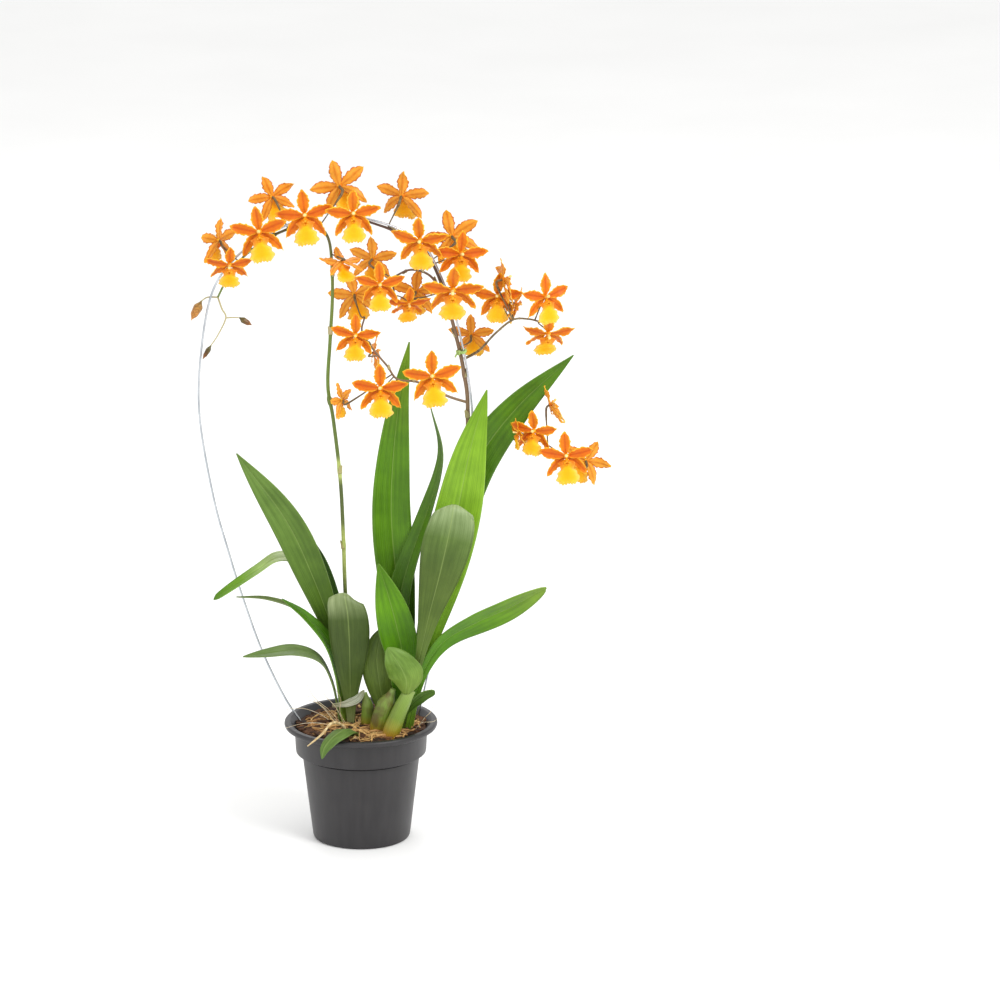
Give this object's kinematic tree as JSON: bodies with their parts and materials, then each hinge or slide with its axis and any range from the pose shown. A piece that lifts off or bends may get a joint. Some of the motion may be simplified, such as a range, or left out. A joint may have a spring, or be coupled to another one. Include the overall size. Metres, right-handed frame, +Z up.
{
  "type": "potted orchid",
  "caption": "Flowering catatante orchid in a round nursery pot, its spikes tied along a tall wire arch above strap leaves and hung with small ruffled flowers.",
  "frame": {"origin": "centre of the underside of the pot", "axes": "+Z up; +X to the viewer's right and +Y away from the viewer, seen from the front of the plant, so the arch lies in the XZ plane"},
  "size_m": [0.3247, 0.1258, 0.5385],
  "materials": {
    "pot": "matt",
    "bark": "rough",
    "root": "matt",
    "wire": "bright",
    "tie": "satin",
    "stem": "satin",
    "bulb": "satin",
    "sheath": "matt",
    "leaf": "satin",
    "bloom": "matt"
  },
  "bodies": {
    "root": {"bark_mix": "bark", "bloom_behind_spike": "stem", "bloom_beside_spike": "stem", "bloom_centre_front": "bloom", "bloom_crown_back": "bloom", "bloom_crown_left": "bloom", "bloom_crown_right": "bloom", "bloom_end_front": "bloom", "bloom_end_side": "bloom", "bloom_far_left_back": "bloom", "bloom_far_left_front": "bloom", "bloom_great": "bloom", "bloom_hanging": "bloom", "bloom_inner_back": "bloom", "bloom_inner_front": "bloom", "bloom_inner_low": "bloom", "bloom_left_back": "bloom", "bloom_left_front": "bloom", "bloom_left_low": "bloom", "bloom_left_side": "bloom", "bloom_right_front": "bloom", "bloom_shoulder_back": "bloom", "bloom_shoulder_front": "bloom", "bloom_spidery": "bloom", "bloom_under_shoulder": "bloom", "bulb_centre": "bulb", "bulb_left": "bulb", "bulb_right": "bulb", "dry_sheath": "sheath", "leaf_behind_left": "leaf", "leaf_bent": "leaf", "leaf_big_light": "leaf", "leaf_bright_left": "leaf", "leaf_dark": "leaf", "leaf_drooping": "leaf", "leaf_folded_left": "leaf", "leaf_folded_right": "leaf", "leaf_long_left": "leaf", "leaf_low_left": "leaf", "leaf_low_right": "leaf", "leaf_over_rim": "leaf", "leaf_short_bright": "leaf", "leaf_stub": "leaf", "leaf_tall": "leaf", "leaf_thin_left": "leaf", "leaf_twisted": "leaf", "leaf_upper_right": "leaf", "left_spike": "stem", "lower_spray": "bloom", "pot": "pot", "right_spike": "stem", "right_spray": "bloom", "root_over_rim": "root", "tie_left": "tie", "tie_right": "tie", "tie_top": "tie", "wire_arch": "wire"}
  },
  "joints": []
}
